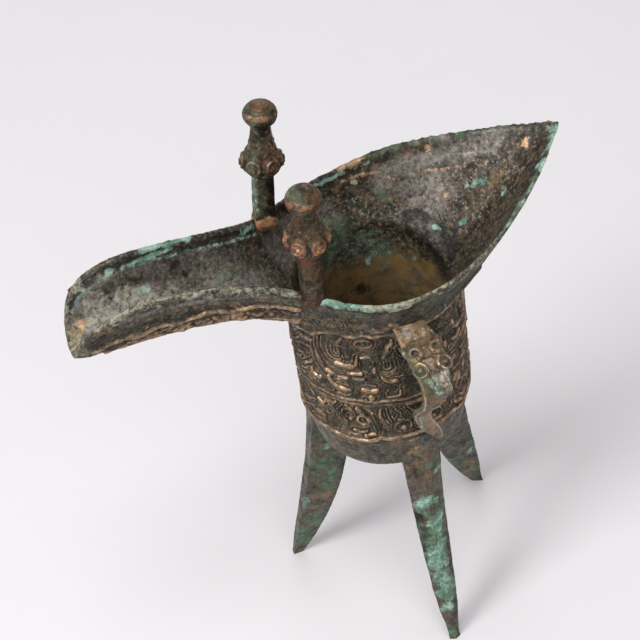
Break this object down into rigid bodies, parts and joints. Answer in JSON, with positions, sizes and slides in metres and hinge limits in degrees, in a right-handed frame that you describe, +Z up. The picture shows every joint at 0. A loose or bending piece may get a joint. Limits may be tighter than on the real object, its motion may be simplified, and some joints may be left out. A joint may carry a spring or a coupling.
{
  "type": "ritual wine vessel",
  "caption": "Bronze jue: round-bottomed cup on dagger legs, with a long pouring trough, a pointed tail, capped rim posts and a loop handle with an ox head.",
  "frame": {"origin": "middle of the footprint, on the ground", "axes": "+Z up, -X towards the pouring lip, +X towards the tail, -Y towards the handle"},
  "size_m": [0.174, 0.0924, 0.2186],
  "materials": {
    "body_bronze": "dark brown patina with copper on the raised ornament and verdigris at the rim",
    "leg_bronze": "brown patina under large patches of green verdigris",
    "post_bronze": "reddish brown patina, rubbed on the knobs",
    "handle_bronze": "rubbed tan bronze with green in the hollows"
  },
  "bodies": {
    "root": {"cup_body": "body_bronze", "spout": "body_bronze", "tail": "body_bronze", "leg_front": "leg_bronze", "leg_spout_side": "leg_bronze", "leg_tail_side": "leg_bronze", "handle_strap": "handle_bronze", "handle_ox_head": "handle_bronze", "post_near": "post_bronze", "post_cap_near": "post_bronze", "post_far": "post_bronze", "post_cap_far": "post_bronze"}
  },
  "joints": []
}
